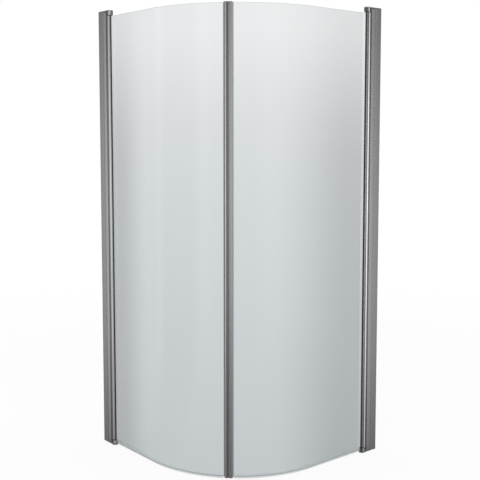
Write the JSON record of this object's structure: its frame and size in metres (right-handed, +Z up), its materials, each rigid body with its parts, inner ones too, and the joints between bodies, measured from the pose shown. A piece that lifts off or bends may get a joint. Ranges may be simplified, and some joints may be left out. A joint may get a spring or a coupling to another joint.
{
  "type": "corner shower enclosure",
  "caption": "Quadrant corner shower enclosure: curved clear glass doors swing outwards on round posts beside wall-fixed aluminium profiles and close on magnet strips.",
  "frame": {"origin": "on the floor, in the middle of the enclosure's square plan", "axes": "+Z up; the left wall is the plane at the -X side and the right wall the plane at the +Y side; the doors face +X and -Y"},
  "size_m": [0.902, 0.902, 2],
  "materials": {
    "anodised_aluminium": "satin anodised",
    "bracket_grey": "satin",
    "clear_glass": "polished, toughened",
    "clear_seal": "translucent, soft",
    "grey_seal": "matt",
    "dark_magnet": "matt",
    "grey_plastic": "fine moulded grain",
    "dark_nylon": "matt",
    "stainless_steel": "turned"
  },
  "bodies": {
    "wall_frame": {"left_wall_channel": "anodised_aluminium", "left_jamb_profile": "anodised_aluminium", "left_jamb_seal": "grey_seal", "left_clamp_screws": "stainless_steel", "left_bottom_bracket": "bracket_grey", "left_top_bracket": "bracket_grey", "left_pivot_pins": "stainless_steel", "right_wall_channel": "anodised_aluminium", "right_jamb_profile": "anodised_aluminium", "right_jamb_seal": "grey_seal", "right_clamp_screws": "stainless_steel", "right_bottom_bracket": "bracket_grey", "right_top_bracket": "bracket_grey", "right_pivot_pins": "stainless_steel"},
    "left_door": {"left_hinge_post": "anodised_aluminium", "left_pivot_bushes": "dark_nylon", "left_post_gasket": "clear_seal", "left_curved_glass": "clear_glass", "left_closing_gasket": "clear_seal", "left_closing_profile": "anodised_aluminium", "left_closing_top_cap": "grey_plastic", "left_closing_bottom_cap": "grey_plastic", "left_magnet_strip": "dark_magnet", "left_magnet_bar": "dark_magnet", "left_bottom_seal": "clear_seal"},
    "right_door": {"right_hinge_post": "anodised_aluminium", "right_pivot_bushes": "dark_nylon", "right_post_gasket": "clear_seal", "right_curved_glass": "clear_glass", "right_closing_gasket": "clear_seal", "right_closing_profile": "anodised_aluminium", "right_closing_top_cap": "grey_plastic", "right_closing_bottom_cap": "grey_plastic", "right_magnet_strip": "dark_magnet", "right_magnet_bar": "dark_magnet", "right_bottom_seal": "clear_seal"}
  },
  "joints": [
    {"name": "left_door_hinge", "type": "hinge", "parent": "wall_frame", "child": "left_door", "pos_m": [-0.38, -0.437, 0], "axis": [0, 0, -1], "range_deg": [0, 95]},
    {"name": "right_door_hinge", "type": "hinge", "parent": "wall_frame", "child": "right_door", "pos_m": [0.437, 0.38, 0], "axis": [0, 0, 1], "range_deg": [0, 95]}
  ]
}
